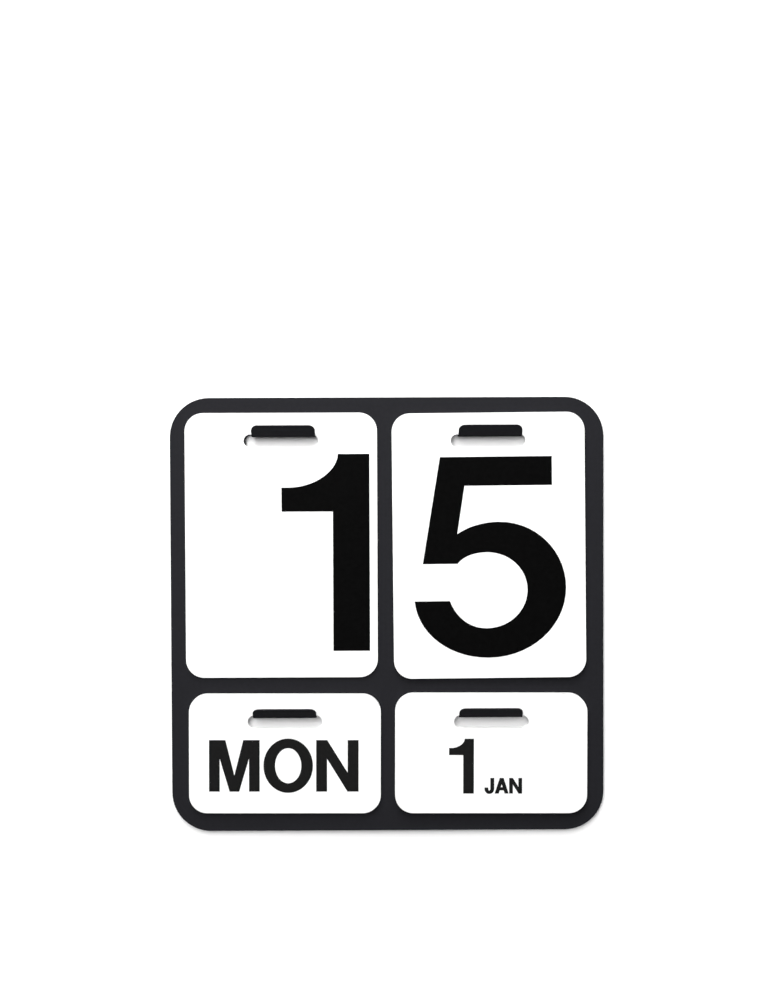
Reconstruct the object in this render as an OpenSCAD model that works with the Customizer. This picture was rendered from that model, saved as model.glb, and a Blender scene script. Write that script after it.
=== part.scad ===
// Perpetual wall calendar. One bent sheet-metal plate carries four hooks, and a stack of printed
// cards hangs on each hook: tens and units of the date above, weekday and month below.
// Millimetres. The wall is the plane y = 0 and the front faces -Y. The origin lies on the wall,
// midway between the two screw holes.

/* [Cards] */
// Width of every card
card_w = 137; // [110:1:170]
// Height of a date card
date_card_h = 189; // [150:1:230]
// Height of a weekday or month card
name_card_h = 85.4; // [60:0.2:120]
// Thickness of one card
card_t = 0.3; // [0.2:0.05:0.5]
// Air between one card and the next in a stack
card_air = 0.12; // [0.1:0.01:0.3]
// Corner radius of a card
card_corner_r = 13; // [3:0.5:20]
// From the top edge of a card down to its slot
slot_drop = 15.2; // [12:0.1:25]
// How much wider a slot is than its hook
slot_side_play = 8.2; // [6:0.2:12]
// Height to spare in a slot when it passes over its hook
slot_lift_play = 1.4; // [1:0.1:4]

/* [Plate] */
// Thickness of the sheet that the plate and its hooks are made from
sheet_t = 1; // [0.8:0.1:1.5]
// Corner radius of the plate
plate_corner_r = 28; // [5:1:40]
// Plate showing above the cards
top_margin = 12; // [4:0.1:30]
// Plate showing beside the cards
side_margin = 13.3; // [4:0.1:30]
// Plate showing below the cards
bottom_margin = 13.5; // [4:0.1:40]
// Gap between the left and the right cards
column_gap = 9.4; // [6:0.1:20]
// Gap between the upper and the lower cards
row_gap = 11; // [9:0.5:20]

/* [Hooks] */
// Width of a hook
hook_w = 45; // [30:0.2:70]
// Lean of the lip from upright
lip_lean = 40; // [20:1:55]
// Length of the straight part of the lip
lip_len = 8.4; // [5:0.1:12]
// Radius of the lip's outer corners
lip_corner_r = 4.6; // [1:0.1:4.9]
// Inside radius of the bend where a hook leaves the plate
root_bend_r = 0.6; // [0.4:0.1:1.5]
// Inside radius of the bend between shelf and lip
lip_bend_r = 1.2; // [0.5:0.1:2.5]
// Depth to spare on the shelf in front of the deepest stack
shelf_play = 0.3; // [0.2:0.1:3]
// Width of the cut round a hook's flat blank
window_side = 5; // [1.5:0.5:6]
// Straight cut left between a hook's side and the round corners of its window
corner_clear = 0.6; // [0.3:0.1:1.2]
// How far the cut beside a hook runs up past its bend
bend_relief = 0.6; // [0.5:0.1:3]

/* [Wall fixing] */
// Distance from the plate's back to the wall
stand_off = 3; // [2:0.5:8]
// Diameter of a screw hole
screw_hole_d = 4.5; // [3:0.1:6]
// Length of the screw hole's straight wall
screw_land = 0.8; // [0.5:0.1:1.5]
// From the upper hooks' shelves down to the screw holes
screw_drop = 40; // [30:1:80]
// Diameter of a wall pad where it sits on the plate
pad_d = 12; // [8:0.5:20]
// Diameter of a wall pad where it meets the wall
pad_tip_d = 10; // [6:0.5:16]
// From the plate's lower and side edges to a pad's centre
pad_inset = 24; // [12:1:60]

/* [Hanging] */
// Clearance between a hanging card and the hook under it
hang_gap = 0.06; // [0.04:0.01:0.2]
// How far the tens cards hang to the right of their hook's middle
tens_shift = -2.3; // [-2.5:0.1:2.5]
// How far the tens cards lean anticlockwise, seen from the front
tens_tilt = 0; // [-0.8:0.05:0.8]
// How far the units cards hang to the right of their hook's middle
units_shift = -1.2; // [-2.5:0.1:2.5]
// How far the units cards lean anticlockwise
units_tilt = 0.4; // [-0.8:0.05:0.8]
// How far the weekday cards hang to the right of their hook's middle
weekday_shift = -0.3; // [-2.5:0.1:2.5]
// How far the weekday cards lean anticlockwise
weekday_tilt = -0.25; // [-0.8:0.05:0.8]
// How far the month cards hang to the right of their hook's middle
month_shift = 0.6; // [-2.5:0.1:2.5]
// How far the month cards lean anticlockwise
month_tilt = -0.25; // [-0.8:0.05:0.8]

/* [Hidden] */
$fn = 96;

// How far a cut runs past the face that it opens
cut_past = 0.5;

// What each card shows, from the front card of a stack to the one against the plate
tens_marks = ["1", "2", "3", "blank"];
units_marks = ["5", "6", "7", "8", "9", "0", "1", "2", "3", "4"];
weekday_marks = ["mon", "tue", "wed", "thu", "fri", "sat", "sun"];
month_marks = ["jan", "feb", "mar", "apr", "may", "jun",
               "jul", "aug", "sep", "oct", "nov", "dec"];

// Cut sizes that follow from angles are rounded up to a tenth of a millimetre
function tenth_up(size) = ceil(size * 10) / 10;

// Depth that a card takes up in its stack, and the deepest stack
card_pitch = card_t + card_air;
deepest = max(len(tens_marks), len(units_marks), len(weekday_marks), len(month_marks));

// Hook, in the plane across it: distance in front of the plate, and height above the shelf
shelf_end = root_bend_r + deepest * card_pitch + shelf_play;
lip_turn = 90 - lip_lean;
lip_start = [shelf_end + lip_bend_r * sin(lip_turn), lip_bend_r * (1 - cos(lip_turn))];
lip_rise = lip_start[1] + lip_len * sin(lip_turn);

// Length of a hook's flat blank along the middle of the sheet, and the window that it leaves
quarter_turn = PI / 2;
blank_len = quarter_turn * (root_bend_r + sheet_t / 2) + shelf_end - root_bend_r
          + quarter_turn * lip_turn / 90 * (lip_bend_r + sheet_t / 2) + lip_len;
window_w = hook_w + 2 * window_side;
window_corner_r = window_side - corner_clear;
window_top = root_bend_r + bend_relief;
window_h = tenth_up(bend_relief + blank_len + window_side);

// Drawing of a hook: a length past its ends, how high its sheet runs up into the plate, steps in a bend
hook_reach = shelf_end + sheet_t + lip_rise;
root_top = window_top + bend_relief;
bend_steps = 10;

// Slot of a card
slot_w = hook_w + slot_side_play;
slot_h = tenth_up(sheet_t + lip_rise + slot_lift_play);

// Places of the hooks and the plate's edges
column_x = (card_w + column_gap) / 2;
row_pitch = date_card_h + row_gap;
upper_shelf_z = screw_drop;
lower_shelf_z = upper_shelf_z - row_pitch;
plate_w = 2 * (card_w + side_margin) + column_gap;
plate_h = top_margin + date_card_h + row_gap + name_card_h + bottom_margin;
plate_top = upper_shelf_z + slot_drop + top_margin;
plate_bottom = plate_top - plate_h;
plate_front = stand_off + sheet_t;

// Screw dimple: a 45 degree seat pressed back as far as the wall
screw_r = screw_hole_d / 2;
seat_depth = plate_front - screw_land;

// Each stack: name, marks, column, shelf height, card height, sideways shift, lean
stacks = [
    ["tens", tens_marks, -column_x, upper_shelf_z, date_card_h, tens_shift, tens_tilt],
    ["units", units_marks, column_x, upper_shelf_z, date_card_h, units_shift, units_tilt],
    ["weekday", weekday_marks, -column_x, lower_shelf_z, name_card_h, weekday_shift, weekday_tilt],
    ["month", month_marks, column_x, lower_shelf_z, name_card_h, month_shift, month_tilt]
];

function card_name(stack, i) = str(stack[0], "_card_", stack[1][i]);

// How far past the slot's straight top edge the hook's side reaches once a card hangs off centre
function reach_past(shift) = max(0, hook_w / 2 + abs(shift) - (slot_w - slot_h) / 2);

// How high a card rides when the round end of its slot sits on the hook's side
function ride_up(shift) = slot_h / 2 - sqrt(pow(slot_h / 2, 2) - pow(reach_past(shift), 2));

// Height of a slot's top edge above the shelf at the middle of the slot
function hang_height(shift, tilt) = hang_gap + ride_up(shift) + hook_w / 2 * tan(abs(tilt));

// Rectangle with round corners
module rounded(w, h, r) {
    square([w - 2 * r, h], center = true);
    square([w, h - 2 * r], center = true);
    for (x = [-1, 1], y = [-1, 1])
        translate([x * (w / 2 - r), y * (h / 2 - r)]) circle(r);
}

// Stands a flat drawing upright, with its back at a distance in front of the wall
module upright(back, thickness) {
    translate([0, -back, 0]) rotate([90, 0, 0]) linear_extrude(thickness) children();
}

// Points a shape that was drawn along +Z at the wall
module wallward(x, back, z) {
    translate([x, -back, z]) rotate([-90, 0, 0]) children();
}

// Points of an arc about a centre, from one angle to another
function arc(centre, r, from, to) =
    [for (k = [0 : bend_steps]) let (a = from + (to - from) * k / bend_steps) centre + r * [cos(a), sin(a)]];

// Bent sheet across a hook: down its inside from within the plate to past the tip, and back outside
module hook_section() {
    root_centre = [root_bend_r, root_bend_r];
    lip_centre = [shelf_end, lip_bend_r];
    past_tip = lip_start + (lip_len + cut_past) * [cos(lip_turn), sin(lip_turn)];
    polygon(concat(
        [[0, root_top]],
        arc(root_centre, root_bend_r, 180, 270),
        arc(lip_centre, lip_bend_r, 270, 270 + lip_turn),
        [past_tip, past_tip + sheet_t * [sin(lip_turn), -cos(lip_turn)]],
        arc(lip_centre, lip_bend_r + sheet_t, 270 + lip_turn, 270),
        arc(root_centre, root_bend_r + sheet_t, 270, 180),
        [[-sheet_t, root_top]]
    ));
}

// Outline of a hook, seen square to its lip and drawn from the lip's bend
module hook_outline() {
    inner_w = hook_w - 2 * lip_corner_r;
    translate([-hook_w / 2, -hook_reach]) square([hook_w, hook_reach + lip_len - lip_corner_r]);
    translate([-inner_w / 2, -hook_reach]) square([inner_w, hook_reach + lip_len]);
    for (x = [-1, 1])
        translate([x * inner_w / 2, lip_len - lip_corner_r]) circle(lip_corner_r);
}

module hook() {
    intersection() {
        rotate([90, 0, -90]) linear_extrude(hook_w + 2 * cut_past, center = true) hook_section();
        translate([0, -lip_start[0], lip_start[1]]) rotate([180 - lip_turn, 0, 0])
            linear_extrude(2 * hook_reach, center = true) hook_outline();
    }
}

module plate_outline() {
    difference() {
        translate([0, (plate_top + plate_bottom) / 2]) rounded(plate_w, plate_h, plate_corner_r);
        for (stack = stacks)
            translate([stack[2], stack[3] + window_top - window_h / 2])
                rounded(window_w, window_h, window_corner_r);
    }
}

module back_plate() {
    color("#2b2d31") difference() {
        union() {
            upright(stand_off, sheet_t) plate_outline();
            for (stack = stacks) translate([stack[2], -plate_front, stack[3]]) hook();
            for (x = [-1, 1])
                wallward(x * column_x, stand_off, 0)
                    cylinder(h = stand_off, r1 = screw_r + sheet_t + stand_off, r2 = screw_r + sheet_t);
        }
        for (x = [-1, 1]) {
            wallward(x * column_x, plate_front + cut_past, 0)
                cylinder(h = seat_depth + cut_past, r1 = screw_r + seat_depth + cut_past, r2 = screw_r);
            wallward(x * column_x, plate_front, 0) cylinder(h = plate_front + cut_past, r = screw_r);
        }
    }
}

module wall_pads() {
    color("#3a3a3a") for (x = [-1, 1])
        wallward(x * (plate_w / 2 - pad_inset), stand_off, plate_bottom + pad_inset)
            cylinder(h = stand_off, d1 = pad_d, d2 = pad_tip_d);
}

// Card outline, drawn from the middle of its slot's top edge
module card_outline(h) {
    difference() {
        translate([0, slot_drop - h / 2]) rounded(card_w, h, card_corner_r);
        translate([0, -slot_h / 2]) {
            square([slot_w - slot_h, slot_h], center = true);
            for (x = [-1, 1]) translate([x * (slot_w - slot_h) / 2, 0]) circle(slot_h / 2);
        }
    }
}

module card(stack, i) {
    behind = len(stack[1]) - 1 - i;
    hang = stack[3] + hang_height(stack[5], stack[6]);
    color("white") translate([stack[2] + stack[5], 0, hang]) rotate([0, -stack[6], 0])
        upright(plate_front + root_bend_r + behind * card_pitch, card_t) card_outline(stack[4]);
}

back_plate();
wall_pads();
for (stack = stacks, i = [0 : len(stack[1]) - 1])
    card(stack, i);
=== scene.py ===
"""Looks of a perpetual wall calendar: a black sheet-metal plate whose four hooks carry printed cards.

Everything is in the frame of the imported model: metres, the wall at y = 0, the front towards -Y.
Prints and the camera are laid out in millimetres and turned into metres as they are made; the stage and the
lights are laid out in metres.
"""
import math

import bmesh
import bpy
from mathutils import Euler, Matrix, Vector
from mathutils.geometry import tessellate_polygon


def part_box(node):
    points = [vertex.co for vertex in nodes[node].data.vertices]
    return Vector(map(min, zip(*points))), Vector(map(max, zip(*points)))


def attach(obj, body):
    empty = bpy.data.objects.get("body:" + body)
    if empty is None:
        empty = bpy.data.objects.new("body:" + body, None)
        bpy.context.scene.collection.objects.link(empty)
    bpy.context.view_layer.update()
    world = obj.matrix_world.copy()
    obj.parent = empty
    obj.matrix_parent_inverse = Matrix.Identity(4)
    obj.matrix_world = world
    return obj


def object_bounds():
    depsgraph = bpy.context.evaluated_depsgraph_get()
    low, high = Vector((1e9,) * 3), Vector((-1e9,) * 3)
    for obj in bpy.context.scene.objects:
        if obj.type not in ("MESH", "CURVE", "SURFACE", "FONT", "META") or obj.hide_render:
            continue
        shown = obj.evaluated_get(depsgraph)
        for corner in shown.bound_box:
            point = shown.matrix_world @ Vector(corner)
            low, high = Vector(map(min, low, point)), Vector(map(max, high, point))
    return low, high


MM = 0.001
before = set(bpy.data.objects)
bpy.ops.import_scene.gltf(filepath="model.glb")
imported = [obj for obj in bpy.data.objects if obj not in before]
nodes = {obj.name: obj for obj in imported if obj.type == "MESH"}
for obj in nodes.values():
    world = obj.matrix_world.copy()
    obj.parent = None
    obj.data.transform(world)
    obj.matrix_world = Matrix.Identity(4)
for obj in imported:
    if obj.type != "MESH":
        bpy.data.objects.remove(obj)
cad_low, cad_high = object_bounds()

# Stacks of cards: what each shows, from the front card back, and how far it leans anticlockwise, in degrees
STACKS = {
    "tens": (["1", "2", "3", "blank"], 0.0),
    "units": (["5", "6", "7", "8", "9", "0", "1", "2", "3", "4"], 0.4),
    "weekday": (["mon", "tue", "wed", "thu", "fri", "sat", "sun"], -0.25),
    "month": (["jan", "feb", "mar", "apr", "may", "jun", "jul", "aug", "sep", "oct", "nov", "dec"], -0.25),
}

# Prints, measured from the middle of a card: the line that the characters stand on
BASE_LINE = {"tens": -75.4, "units": -77.3, "weekday": -26.9, "month": -28.4}
# Heights of the date's digits, the weekday's letters, and the month's number and letters
DATE_HEIGHT = 140.3
DAY_HEIGHT = 36.5
MONTH_NUMBER_HEIGHT = 38.8
MONTH_NAME_HEIGHT = 10.7
# Where the prints stand across their cards: the right side of the tens' one, and the middles of the others
TENS_ONE_RIGHT = 62.8
UNITS_MIDDLE = 0.6
DAY_MIDDLE = -0.8
MONTH_MIDDLE = -4.0
# Gap between the month's number and its name
MONTH_GAP = 8.1
# How thick the ink lies, and how far it runs past the outlines
INK_THICKNESS = 0.03
INK_SPREAD = 0.26

# Camera: its place, how far it looks down and to the right and rolls, in degrees, its focal length over the
# image's height, its sensor's long side, and the nearest distance that it shows
CAMERA_PLACE = (-2.65, -704.0, 4.9)
CAMERA_DOWN = 0.904
CAMERA_RIGHT = 0.189
CAMERA_ROLL = 0.209
FOCAL_SHARE = 0.9783
SENSOR = 36.0
CLIP_START = 10.0

# Stage, in metres: the sides of the wall and the floor, the wall's top and its place just behind the
# object, and the floor's height, front and back
STAGE_LEFT = -4.0
STAGE_RIGHT = 4.0
WALL_TOP = 3.0
WALL_BACK = 0.0001
FLOOR_HEIGHT = -1.4
FLOOR_FRONT = -5.0
FLOOR_BACK = 5.0

# Lights: where each stands and aims, in metres from the object's middle, its width and height, and its
# power in watts. A tall soft one stands above the camera, two stand behind for the back, and one stands at
# each side, just behind the wall's plane, for the sides of the stacks.
LIGHTS = {
    "key": ((-0.16, -0.93, 0.945), (0, 0, 0.425), (0.8, 1.85), 43),
    "rear": ((0.8, 1.6, 1.0), (0, 0, 0), (1.2, 1.2), 90),
    "rear_fill": ((-0.6, 1.6, 0.9), (0, 0, 0), (1.2, 1.2), 14),
    "edge_left": ((-1.0, 0.07, 0), (0, 0, 0), (0.1, 0.6), 6),
    "edge_right": ((1.0, 0.07, 0), (0, 0, 0), (0.1, 0.6), 6),
}
# The nodes that the rear light reaches: on the cards it would shine through the windows into the slots
REAR_LIT = ("back_plate", "wall_pads")
# Strength of the even fill from all round
ROOM_FILL = 0.08

# Outlines of the characters, which stand on y = 0. Digits are centred on x = 0 and capitals start there.
# The first path of a character is its outside, and the others are its holes. A path is a start, M, and
# then steps: L is a straight line, H a quarter turn that leaves level and arrives upright, V one that
# leaves upright and arrives level, and C a free curve with its two handles before its end.
DIGIT_HEIGHT = 140.3
DIGITS = {
    "0": ["M 0 142.8 H 52.5 86 L 52.5 54.3 V 0 -2.5 H -52.5 54.3 L -52.5 86 V 0 142.8",
          "M 0 121.3 H 25 86 L 25 54.3 V 0 19 H -25 54.3 L -25 86 V 0 121.3"],
    "1": ["M 31.2 140.3 L 31.2 0 L 5.5 0 L 5.5 99.7 L -31.1 99.7 L -31.1 116.4 L -26.3 116.4"
          " C -6.7 116.4 9.1 129 9.1 140.3"],
    "2": ["M -53.5 0 L 52.5 0 L 52.5 22.5 L -13.5 22.5 C -4 41 51.5 56 51.5 99.5 V 0.5 142.8 H -51.5 92"
          " L -25 92 V 0.5 121.5 H 23.5 99 C 23.5 76 -53.5 68 -53.5 0"],
    "3": ["M -50.5 97 V 0 142.8 H 48.5 105.5 C 48.5 91 41 80 29.5 75.5 C 43.5 71 53.5 59 53.5 42 V 0 -2.5"
          " H -53.5 43 L -26.5 43 V 0 18.5 H 26.5 42.5 V -1 64.8 L -13 64.8 L -13 83.5 L -2 83.5"
          " H 22 103.5 V 0 122 H -24.5 97"],
    "4": ["M 15 0 L 41.5 0 L 41.5 30.5 L 56.5 30.5 L 56.5 51.5 L 41.5 51.5 L 41.5 140.3 L 10 140.3"
          " L -56.5 54 L -56.5 30.5 L 15 30.5",
          "M 15 51.5 L -31 51.5 L 15 111.5"],
    "5": ["M -34.7 140.3 L 44.4 140.3 L 44.4 120.2 L -17.8 120.2 L -23.4 85.1 C -15 91 -4 93.9 6.8 93.9"
          " H 53.9 47.2 V -1.2 -2.5 C -29.3 -2.5 -51.4 15 -53.6 37.7 L -28.9 37.7"
          " C -25.1 27.7 -16.4 18.1 -2.4 18.1 H 26.9 45.7 V -1.9 72.8 C -11 72.8 -19 70 -23.1 64.7"
          " L -47.5 64.7"],
    "6": ["M 49.5 106 V 4 142.8 H -53.5 66 V 1 -2.5 H 53.5 45.5 V 8 93 C -8 93 -20 87 -26 77"
          " C -25.5 106 -13 121.5 4 121.5 H 23 106",
          "M 1 72.5 H 27 45.5 V 1 18.5 H -26 45.5 V 1 72.5"],
    "7": ["M -53 140.3 L 53.5 140.3 L 53.5 119 C 22 88 -1 45 -4.5 0 L -33.5 0 C -31 42 -10 84 24.5 118"
          " L -53 118"],
    "8": ["M 0 142.8 H 47 105.5 C 47 92 41 80.5 31 75.5 C 45 70.5 53.5 58 53.5 40.5 V 0 -2.5 H -53.5 40.5"
          " C -53.5 58 -45 70.5 -31 75.5 C -41 80.5 -47 92 -47 105.5 V 0 142.8",
          "M 0 123 H 21.5 103.5 V 0 84 H -21.5 103.5 V 0 123",
          "M 0 64.5 H 26.5 41.5 V 0 18.5 H -26.5 41.5 V 0 64.5"],
}
CAPITAL_HEIGHT = 100
CAPITALS = {
    "A": ["M 0 0 L 22 0 L 29 21.5 L 58 21.5 L 65 0 L 87 0 L 54.5 100 L 32.5 100",
          "M 34.5 38.5 L 52.5 38.5 L 43.5 68"],
    "B": ["M 0 0 L 46 0 H 78 28 C 78 40 72 49 62 52.5 C 70 56.5 74.5 64 74.5 73.5 V 44 100 L 0 100",
          "M 21 17 L 44 17 H 57 29.5 V 44 42 L 21 42",
          "M 21 58 L 42 58 H 54 70.5 V 42 83 L 21 83"],
    "C": ["M 88 66 V 47 102.5 H 0 50 V 47 -2.5 H 88 36 L 66.5 36 V 47 15 H 21.5 50 V 47 85 H 66.5 66"],
    "D": ["M 0 0 L 38 0 H 82 50 V 38 100 L 0 100",
          "M 21 17.5 L 36 17.5 H 60.5 50 V 36 82.5 L 21 82.5"],
    "E": ["M 0 0 L 62 0 L 62 17.5 L 21 17.5 L 21 42 L 57 42 L 57 59 L 21 59 L 21 82.5 L 61 82.5 L 61 100"
          " L 0 100"],
    "F": ["M 0 0 L 21 0 L 21 40.5 L 54 40.5 L 54 57.5 L 21 57.5 L 21 82.5 L 59 82.5 L 59 100 L 0 100"],
    "G": ["M 88 68 V 47 102.5 H 0 50 V 46 -2.5 C 58 -2.5 66 3 71 10.5 L 73 0 L 88.5 0 L 88.5 54 L 48 54"
          " L 48 37.5 L 67.5 37.5 C 66.5 23 59 15.5 47 15.5 H 21.5 50 V 47 85 H 66.5 68"],
    "H": ["M 0 0 L 21 0 L 21 41.5 L 59 41.5 L 59 0 L 80 0 L 80 100 L 59 100 L 59 59.5 L 21 59.5 L 21 100"
          " L 0 100"],
    "I": ["M 0 0 L 21 0 L 21 100 L 0 100"],
    "J": ["M 39 100 L 60 100 L 60 30 V 29.5 -2.5 H 0 30 L 0 36 L 20.5 36 L 20.5 30 V 29.5 15.5 H 39 30"],
    "L": ["M 0 0 L 60 0 L 60 17.5 L 21 17.5 L 21 100 L 0 100"],
    "M": ["M 0 0 L 19.5 0 L 19.5 69 L 40 0 L 57.8 0 L 78.3 69 L 78.3 0 L 97.8 0 L 97.8 100 L 66.9 100"
          " L 48.9 28 L 30.9 100 L 0 100"],
    "N": ["M 0 0 L 20 0 L 20 66 L 61 0 L 81.7 0 L 81.7 100 L 61.7 100 L 61.7 34 L 20.7 100 L 0 100"],
    "O": ["M 47.8 103 H 95.6 50 V 47.8 -2.5 H 0 50 V 47.8 103",
          "M 47.8 85.5 H 74.2 50 V 47.8 15 H 21.4 50 V 47.8 85.5"],
    "P": ["M 0 0 L 21 0 L 21 36 L 45 36 H 76 68 V 45 100 L 0 100",
          "M 21 53 L 42 53 H 55.5 68 V 42 83 L 21 83"],
    "R": ["M 0 0 L 21 0 L 21 40 L 37 40 C 48 40 53 36 53.5 26 C 54 14 54 6 57.5 0 L 81 0 L 81 2.5"
          " C 75.5 6 75.5 14 75 26 C 74.5 40 70 46 61 49.5 C 72 54 78 62 78 73 V 48 100 L 0 100",
          "M 21 57 L 45 57 H 57 70 V 45 83 L 21 83"],
    "S": ["M 73.5 70 V 39 102.5 H 3 72 C 3 52 20 47 38 42.5 C 51 39.5 56.5 37 56.5 29 V 39.5 14.5 H 21 33"
          " L 0 33 V 39 -2.5 H 78 30.5 C 78 52 60 56.5 42 61 C 30 64 24.5 66 24.5 73 V 38.5 86 H 52.5 70"],
    "T": ["M 26.5 0 L 47.5 0 L 47.5 82.5 L 74 82.5 L 74 100 L 0 100 L 0 82.5 L 26.5 82.5"],
    "U": ["M 0 100 L 0 36 V 39.5 -2.5 H 79 36 L 79 100 L 58 100 L 58 36 V 39.5 16 H 21 36 L 21 100"],
    "V": ["M 30.5 0 L 53.5 0 L 84 100 L 62 100 L 42 27 L 22 100 L 0 100"],
    "W": ["M 24.5 0 L 46 0 L 61 66 L 76 0 L 97.5 0 L 122 100 L 100.5 100 L 86 31 L 71.5 100 L 50.5 100"
          " L 36 31 L 21.5 100 L 0 100"],
    "Y": ["M 31.5 0 L 52.5 0 L 52.5 38 L 84 100 L 60.5 100 L 42 58.5 L 23.5 100 L 0 100 L 31.5 38"],
}
# Gap between characters on a line, and its change between capitals that would look too far apart
LETTER_GAP = 8.7
CLOSER_PAIRS = {"AT": -9, "AY": -9, "AU": -1, "OV": -4, "AP": -1, "ON": -1}
# Straight steps in a curve, the share of a quarter turn that its handles take, and the distance below which
# two points are one
CURVE_STEPS = 14
QUARTER_HANDLE = 0.5523
SAME_POINT = 1e-6
# Least value taken for 1 plus the cosine of a corner's turn, so that no sharp corner grows a long spike
MITRE_LIMIT = 0.3
# Share of the ink's spread by which a moved point must clear the outline to be kept
SPREAD_KEPT = 0.95

# Noise values at which a finish reaches its low end and its high end
NOISE_LOW = 0.3
NOISE_HIGH = 0.7


def trace(path):
    """Points round one path, with its curves stepped."""
    words = path.split()
    points = []
    at = None
    i = 0
    while i < len(words):
        kind = words[i]
        count = 6 if kind == "C" else 2
        numbers = [float(w) for w in words[i + 1:i + 1 + count]]
        i += 1 + count
        end = Vector(numbers[-2:])
        if kind in "ML":
            points.append(end)
        else:
            if kind == "C":
                first, second = Vector(numbers[0:2]), Vector(numbers[2:4])
            elif kind == "H":
                first = Vector((at.x + QUARTER_HANDLE * (end.x - at.x), at.y))
                second = Vector((end.x, end.y - QUARTER_HANDLE * (end.y - at.y)))
            else:
                first = Vector((at.x, at.y + QUARTER_HANDLE * (end.y - at.y)))
                second = Vector((end.x - QUARTER_HANDLE * (end.x - at.x), end.y))
            for k in range(1, CURVE_STEPS + 1):
                t = k / CURVE_STEPS
                s = 1 - t
                points.append(s ** 3 * at + 3 * s * s * t * first + 3 * s * t * t * second + t ** 3 * end)
        at = end
    if (points[0] - points[-1]).length < SAME_POINT:
        points.pop()
    return points


def digit(mark):
    """Contours of a digit. A nine is a six turned half round."""
    if mark == "9":
        return [[Vector((-p.x, DIGIT_HEIGHT - p.y)) for p in c] for c in digit("6")]
    return [trace(path) for path in DIGITS[mark]]


def extent(glyphs):
    """Leftmost and rightmost x of some glyphs."""
    xs = [p.x for glyph in glyphs for contour in glyph for p in contour]
    return min(xs), max(xs)


def placed(glyphs, scale, dx, dy):
    """Glyphs scaled about their origin and then shifted."""
    return [[[Vector((p.x * scale + dx, p.y * scale + dy)) for p in c] for c in glyph] for glyph in glyphs]


def row(glyphs, pairs=()):
    """Glyphs side by side from x = 0, with the letter gap between them and a change of it for each pair."""
    line = []
    pen = 0
    for k, glyph in enumerate(glyphs):
        left, right = extent([glyph])
        line += placed([glyph], 1, pen - left, 0)
        pen += right - left + LETTER_GAP
        if k < len(pairs):
            pen += pairs[k]
    return line


def word(text):
    """Glyphs of a word in capitals, from x = 0."""
    pairs = [CLOSER_PAIRS.get(text[k:k + 2], 0) for k in range(len(text) - 1)]
    return row([[trace(path) for path in CAPITALS[c]] for c in text], pairs)


def date_print(stack, mark):
    """One large digit. The tens' narrow one stands at the right, next to the units."""
    glyph = digit(mark)
    scale = DATE_HEIGHT / DIGIT_HEIGHT
    left, right = extent([glyph])
    shift = -(left + right) / 2 * scale
    if stack == "units":
        shift += UNITS_MIDDLE
    elif mark == "1":
        shift = TENS_ONE_RIGHT - right * scale
    return placed([glyph], scale, shift, BASE_LINE[stack])


def day_print(mark):
    """The weekday's short name, centred."""
    glyphs = word(mark.upper())
    scale = DAY_HEIGHT / CAPITAL_HEIGHT
    left, right = extent(glyphs)
    return placed(glyphs, scale, DAY_MIDDLE - (left + right) / 2 * scale, BASE_LINE["weekday"])


def month_print(mark):
    """The month's number, and its short name beside it on the same line."""
    number = STACKS["month"][0].index(mark) + 1
    figures = placed(row([digit(c) for c in str(number)]), MONTH_NUMBER_HEIGHT / DIGIT_HEIGHT, 0, 0)
    name_left = extent(figures)[1] + MONTH_GAP
    glyphs = figures + placed(word(mark.upper()), MONTH_NAME_HEIGHT / CAPITAL_HEIGHT, name_left, 0)
    return placed(glyphs, 1, MONTH_MIDDLE - extent(glyphs)[1] / 2, BASE_LINE["month"])


def gap(point, contour):
    """Distance from a point to the nearest stretch of a contour."""
    nearest = []
    for k, end in enumerate(contour):
        start = contour[k - 1]
        run = end - start
        share = (point - start).dot(run) / run.length_squared
        nearest.append((point - start - min(max(share, 0), 1) * run).length)
    return min(nearest)


def spread(contour, hole):
    """A contour grown by the spread of the ink, or shrunk by it where it is a hole.

    Points that a narrow corner would push too near to its other side are left out.
    """
    area = sum(contour[k - 1].cross(contour[k]) for k in range(len(contour)))
    out = INK_SPREAD if (area > 0) != hole else -INK_SPREAD
    moved = []
    for k, p in enumerate(contour):
        before = (p - contour[k - 1]).normalized()
        after = (contour[(k + 1) % len(contour)] - p).normalized()
        mitre = (before + after).orthogonal()
        share = 1 + before.dot(after)
        if before.cross(after) * out > 0:
            share = max(share, MITRE_LIMIT)
        moved.append(p - out * mitre / share)
    return [q for q in moved if gap(q, contour) > SPREAD_KEPT * INK_SPREAD]


def glyph_solid(bm, glyph, place, back, front):
    """Adds a glyph to a mesh as a thin closed solid between two depths in front of the wall."""
    glyph = [spread(contour, k > 0) for k, contour in enumerate(glyph)]
    rings = []
    for contour in glyph:
        flat = [place @ Vector((p.x, 0, p.y)) for p in contour]
        rings.append([[bm.verts.new((q.x, y, q.z)) for q in flat] for y in (back, front)])
    triangles = tessellate_polygon([[(p.x, p.y, 0) for p in contour] for contour in glyph])
    for level in (0, 1):
        verts = [v for ring in rings for v in ring[level]]
        for triangle in triangles:
            bm.faces.new([verts[k] for k in triangle])
    for behind, before in rings:
        for k in range(len(behind)):
            bm.faces.new((behind[k - 1], behind[k], before[k], before[k - 1]))


def nodes_of(material):
    """Turns a material's nodes on, and gives its tree and its shader."""
    material.use_nodes = True
    tree = material.node_tree
    return tree, tree.nodes["Principled BSDF"]


def fine_noise(tree, scale, detail=3.0):
    """Noise over the object's own coordinates, in features a millimetre across at a scale of 1000."""
    place = tree.nodes.new("ShaderNodeTexCoord")
    noise = tree.nodes.new("ShaderNodeTexNoise")
    noise.inputs["Scale"].default_value = scale
    noise.inputs["Detail"].default_value = detail
    tree.links.new(place.outputs["Object"], noise.inputs["Vector"])
    return noise.outputs["Fac"]


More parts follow.
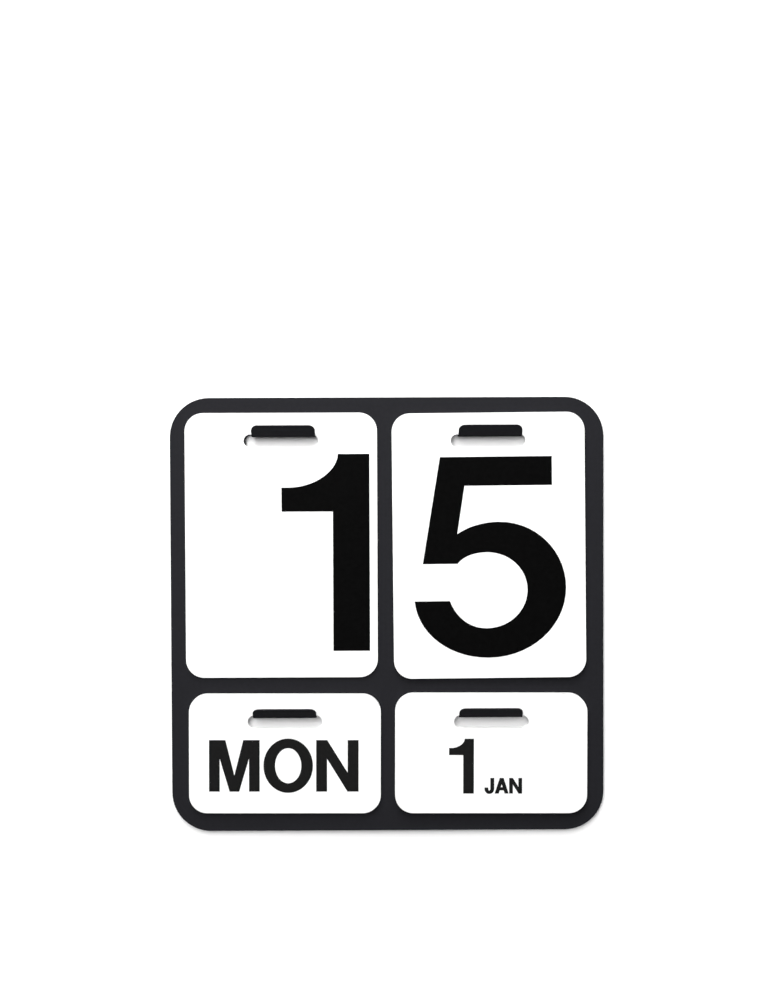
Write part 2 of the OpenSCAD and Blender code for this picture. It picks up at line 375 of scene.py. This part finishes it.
def ramp(tree, source, socket, low, high):
    """Feeds a socket from a noise, between two colours or greys."""
    node = tree.nodes.new("ShaderNodeValToRGB")
    node.color_ramp.elements[0].position = NOISE_LOW
    node.color_ramp.elements[1].position = NOISE_HIGH
    node.color_ramp.elements[0].color = (*low, 1)
    node.color_ramp.elements[1].color = (*high, 1)
    tree.links.new(source, node.inputs["Fac"])
    tree.links.new(node.outputs["Color"], socket)


def bump(tree, shader, source, height):
    """Bumps a surface by a height in metres."""
    node = tree.nodes.new("ShaderNodeBump")
    node.inputs["Strength"].default_value = 1.0
    node.inputs["Distance"].default_value = height
    tree.links.new(source, node.inputs["Height"])
    tree.links.new(node.outputs["Normal"], shader.inputs["Normal"])


def grey(v):
    """A grey as a colour."""
    return (v, v, v)


def powder_coat():
    """Matt black powder coat: a fine peel, with a faint grain of colour and gloss."""
    material = bpy.data.materials.new("powder_coat")
    tree, shader = nodes_of(material)
    shader.inputs["Specular IOR Level"].default_value = 0.08
    ramp(tree, fine_noise(tree, scale=450), shader.inputs["Base Color"],
         low=(0.0112, 0.0112, 0.0134), high=(0.0128, 0.0128, 0.0154))
    ramp(tree, fine_noise(tree, scale=900), shader.inputs["Roughness"], low=grey(0.66), high=grey(0.78))
    bump(tree, shader, fine_noise(tree, scale=1400), height=0.04 * MM)
    return material


def card_stock():
    """White matt PVC sheet with a fine embossed grain."""
    material = bpy.data.materials.new("card_stock")
    tree, shader = nodes_of(material)
    shader.inputs["Specular IOR Level"].default_value = 0.3
    ramp(tree, fine_noise(tree, scale=35), shader.inputs["Base Color"],
         low=(0.865, 0.865, 0.86), high=(0.895, 0.895, 0.893))
    ramp(tree, fine_noise(tree, scale=2500), shader.inputs["Roughness"], low=grey(0.42), high=grey(0.54))
    bump(tree, shader, fine_noise(tree, scale=5000, detail=2.0), height=0.006 * MM)
    return material


def ink(name, low, high):
    """Black screen-printing ink, between two greys."""
    material = bpy.data.materials.new(name)
    tree, shader = nodes_of(material)
    shader.inputs["Specular IOR Level"].default_value = 0.02
    ramp(tree, fine_noise(tree, scale=400), shader.inputs["Base Color"], grey(low), grey(high))
    ramp(tree, fine_noise(tree, scale=3000), shader.inputs["Roughness"], low=grey(0.66), high=grey(0.78))
    return material


def rubber():
    """Soft dark rubber."""
    material = bpy.data.materials.new("rubber")
    tree, shader = nodes_of(material)
    shader.inputs["Specular IOR Level"].default_value = 0.3
    ramp(tree, fine_noise(tree, scale=300), shader.inputs["Base Color"], low=grey(0.028), high=grey(0.04))
    ramp(tree, fine_noise(tree, scale=1500), shader.inputs["Roughness"], low=grey(0.7), high=grey(0.85))
    bump(tree, shader, fine_noise(tree, scale=2500), height=0.03 * MM)
    return material


def dress(obj, material):
    """Gives an object one material in place of those it has."""
    obj.data.materials.clear()
    obj.data.materials.append(material)


def print_card(stack, mark, tilt, material):
    """The print on one card, as a thin layer of ink on its front face."""
    card = f"{stack}_card_{mark}"
    if stack == "weekday":
        glyphs = day_print(mark)
    elif stack == "month":
        glyphs = month_print(mark)
    else:
        glyphs = date_print(stack, mark)
    low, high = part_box(card)
    middle = (low + high) / 2
    turn = Matrix.Rotation(math.radians(-tilt), 4, "Y")
    place = Matrix.Translation((middle.x, 0, middle.z)) @ turn @ Matrix.Scale(MM, 4)
    bm = bmesh.new()
    for glyph in glyphs:
        glyph_solid(bm, glyph, place, low.y, low.y - INK_THICKNESS * MM)
    bmesh.ops.recalc_face_normals(bm, faces=bm.faces)
    mesh = bpy.data.meshes.new(f"print_{stack}_{mark}")
    bm.to_mesh(mesh)
    bm.free()
    obj = bpy.data.objects.new(f"print_{stack}_{mark}", mesh)
    bpy.context.collection.objects.link(obj)
    dress(obj, material)
    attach(obj, card)


def stage_plane(name, corners, material):
    """A plain rectangle of the stage, from its four corners in metres."""
    mesh = bpy.data.meshes.new(name)
    mesh.from_pydata(corners, [], [(0, 1, 2, 3)])
    obj = bpy.data.objects.new(name, mesh)
    bpy.context.collection.objects.link(obj)
    dress(obj, material)
    return obj


def plain_white(name, albedo):
    """Matt white paint for the stage."""
    material = bpy.data.materials.new(name)
    shader = nodes_of(material)[1]
    shader.inputs["Base Color"].default_value = (*grey(albedo), 1)
    shader.inputs["Roughness"].default_value = 0.9
    shader.inputs["Specular IOR Level"].default_value = 0.0
    return material


def far_glow(material, near, far, strength):
    """Makes a stage surface glow far from the origin, rising between two distances in metres."""
    tree, shader = nodes_of(material)
    place = tree.nodes.new("ShaderNodeTexCoord")
    length = tree.nodes.new("ShaderNodeVectorMath")
    length.operation = "LENGTH"
    rise = tree.nodes.new("ShaderNodeMapRange")
    rise.inputs["From Min"].default_value = near
    rise.inputs["From Max"].default_value = far
    rise.inputs["To Max"].default_value = strength
    tree.links.new(place.outputs["Object"], length.inputs[0])
    tree.links.new(length.outputs["Value"], rise.inputs["Value"])
    shader.inputs["Emission Color"].default_value = (1, 1, 1, 1)
    tree.links.new(rise.outputs["Result"], shader.inputs["Emission Strength"])


def one_sided(material):
    """Lets a stage surface be seen through from its back."""
    tree, shader = nodes_of(material)
    side = tree.nodes.new("ShaderNodeNewGeometry")
    clear = tree.nodes.new("ShaderNodeBsdfTransparent")
    mix = tree.nodes.new("ShaderNodeMixShader")
    tree.links.new(side.outputs["Backfacing"], mix.inputs["Fac"])
    tree.links.new(shader.outputs["BSDF"], mix.inputs[1])
    tree.links.new(clear.outputs["BSDF"], mix.inputs[2])
    tree.links.new(mix.outputs["Shader"], tree.nodes["Material Output"].inputs["Surface"])


def make_wall():
    """A white wall behind the plate, which shows only from the room's side and casts no light or shadow."""
    paint = plain_white("wall_white", albedo=0.9)
    far_glow(paint, near=0.24, far=0.6, strength=0.9)
    one_sided(paint)
    corners = [(STAGE_LEFT, WALL_BACK, FLOOR_HEIGHT), (STAGE_RIGHT, WALL_BACK, FLOOR_HEIGHT),
               (STAGE_RIGHT, WALL_BACK, WALL_TOP), (STAGE_LEFT, WALL_BACK, WALL_TOP)]
    wall = stage_plane("wall", corners, paint)
    wall.visible_diffuse = False
    wall.visible_glossy = False
    wall.visible_transmission = False
    wall.visible_shadow = False


def make_floor():
    """A pale floor far below, which casts no light."""
    paint = plain_white("floor_white", albedo=0.8)
    far_glow(paint, near=0, far=0.1, strength=0.75)
    corners = [(STAGE_LEFT, FLOOR_FRONT, FLOOR_HEIGHT), (STAGE_RIGHT, FLOOR_FRONT, FLOOR_HEIGHT),
               (STAGE_RIGHT, FLOOR_BACK, FLOOR_HEIGHT), (STAGE_LEFT, FLOOR_BACK, FLOOR_HEIGHT)]
    floor = stage_plane("floor", corners, paint)
    floor.visible_diffuse = False
    floor.visible_glossy = False


def make_room():
    """An even weak fill from all round, which the camera sees as plain white."""
    world = bpy.data.worlds.new("room")
    world.use_nodes = True
    tree = world.node_tree
    fill = tree.nodes["Background"]
    fill.inputs["Color"].default_value = (1, 1, 1, 1)
    fill.inputs["Strength"].default_value = ROOM_FILL
    backdrop = tree.nodes.new("ShaderNodeBackground")
    backdrop.inputs["Color"].default_value = (1, 1, 1, 1)
    path = tree.nodes.new("ShaderNodeLightPath")
    mix = tree.nodes.new("ShaderNodeMixShader")
    tree.links.new(path.outputs["Is Camera Ray"], mix.inputs["Fac"])
    tree.links.new(fill.outputs["Background"], mix.inputs[1])
    tree.links.new(backdrop.outputs["Background"], mix.inputs[2])
    tree.links.new(mix.outputs["Shader"], tree.nodes["World Output"].inputs["Surface"])
    bpy.context.scene.world = world
    bpy.context.scene.view_settings.view_transform = "Standard"


def area_light(name, place, target, size, power):
    """A soft rectangular light aimed at a point."""
    light = bpy.data.lights.new(name, "AREA")
    light.shape = "RECTANGLE"
    light.size, light.size_y = size
    light.energy = power
    obj = bpy.data.objects.new(name, light)
    obj.location = place
    obj.rotation_euler = (target - place).to_track_quat("-Z", "Y").to_euler()
    obj.visible_camera = False
    bpy.context.collection.objects.link(obj)
    return obj


def make_lights():
    """The soft lights, with the rear one kept off the cards."""
    middle = (cad_low + cad_high) / 2
    lights = {}
    for name, (place, target, size, power) in LIGHTS.items():
        lights[name] = area_light(name, middle + Vector(place), middle + Vector(target), size, power)
    lit_from_behind = bpy.data.collections.new("lit_from_behind")
    for name in REAR_LIT:
        lit_from_behind.objects.link(nodes[name])
    lights["rear"].light_linking.receiver_collection = lit_from_behind


def make_camera():
    """The camera, a little above the middle and turned slightly down and to the right."""
    camera = bpy.data.cameras.new("camera")
    camera.sensor_width = SENSOR
    camera.lens = FOCAL_SHARE * SENSOR
    camera.clip_start = CLIP_START * MM
    obj = bpy.data.objects.new("camera", camera)
    obj.location = Vector(CAMERA_PLACE) * MM
    aim = Euler((math.radians(90 - CAMERA_DOWN), 0, math.radians(-CAMERA_RIGHT))).to_matrix()
    roll = Matrix.Rotation(math.radians(-CAMERA_ROLL), 3, "Z")
    obj.rotation_euler = (aim @ roll).to_euler()
    bpy.context.collection.objects.link(obj)
    bpy.context.scene.camera = obj


make_camera()
make_wall()
make_floor()
make_room()
make_lights()
dense_ink = ink("dense_ink", low=0.0013, high=0.0021)
thin_ink = ink("thin_ink", low=0.0085, high=0.0105)
inks = {"tens": dense_ink, "units": dense_ink, "weekday": thin_ink, "month": thin_ink}
white_card = card_stock()
dress(nodes["back_plate"], powder_coat())
dress(nodes["wall_pads"], rubber())
for stack, (marks, tilt) in STACKS.items():
    for mark in marks:
        dress(nodes[f"{stack}_card_{mark}"], white_card)
        if mark != "blank":
            print_card(stack, mark, tilt, inks[stack])
